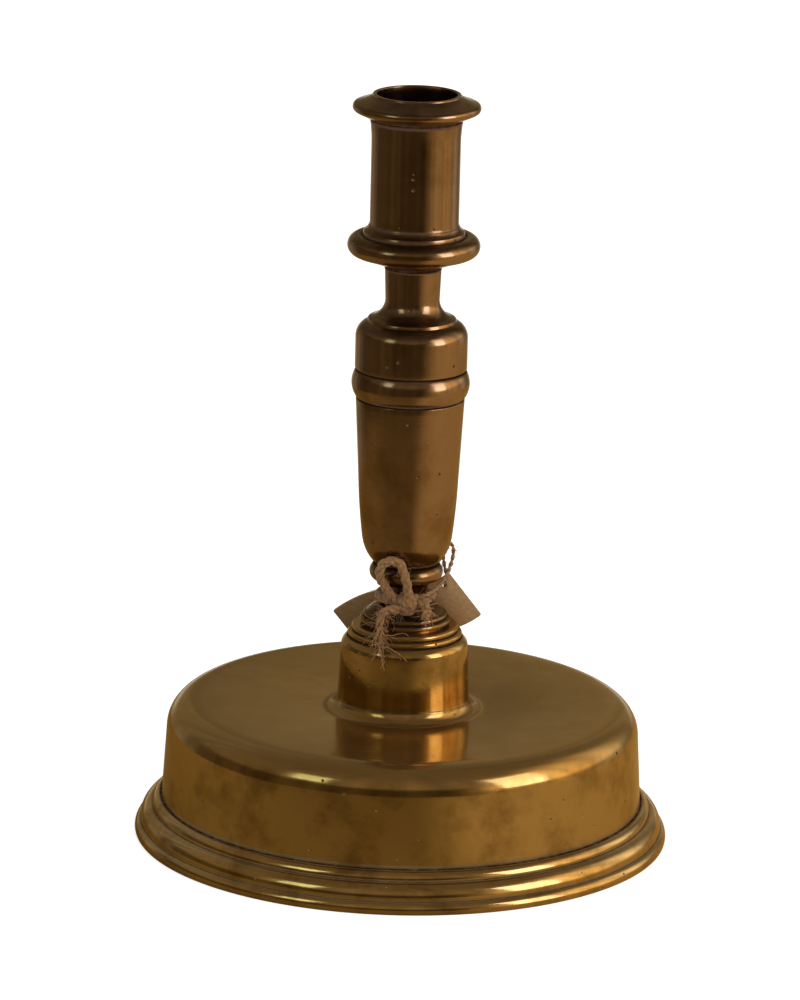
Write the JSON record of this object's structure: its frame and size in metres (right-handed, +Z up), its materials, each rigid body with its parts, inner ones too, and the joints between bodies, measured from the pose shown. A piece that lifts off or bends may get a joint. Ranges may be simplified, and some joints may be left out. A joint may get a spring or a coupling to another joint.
{
  "type": "column candlestick",
  "caption": "Cast-brass column candlestick: baluster stem with drip flange and candle socket, screwed into a hollow drum base, with a twine tie and blank card tag.",
  "frame": {"origin": "centre of the ring that the foot stands on, on the table", "axes": "+Z up along the stem's axis; -Y is the front, where the bow of the tie stands"},
  "size_m": [0.1502, 0.1502, 0.2124],
  "materials": {
    "base_brass": "polished, worn, pitted",
    "stem_brass": "brown patina, rubbed",
    "jute_twine": "twisted jute",
    "jute_string": "thin twisted jute",
    "kraft_card": "matt kraft card"
  },
  "bodies": {
    "base": {"drum_base": "base_brass"},
    "stem": {"stem": "stem_brass"},
    "tie": {"twine_wrap": "jute_twine", "twine_knot": "jute_twine", "twine_bow": "jute_twine", "twine_tail_left": "jute_twine", "twine_tail_right": "jute_twine", "tag_string": "jute_string", "tag_card": "kraft_card"}
  },
  "joints": [
    {"name": "stem_lift", "type": "slide", "parent": "base", "child": "stem", "axis": [0, 0, 1], "range_m": [0, 0.014]},
    {"name": "tie_turn", "type": "hinge", "parent": "stem", "child": "tie", "pos_m": [0, 0, 0.0694], "axis": [0, 0, 1], "continuous": true}
  ]
}
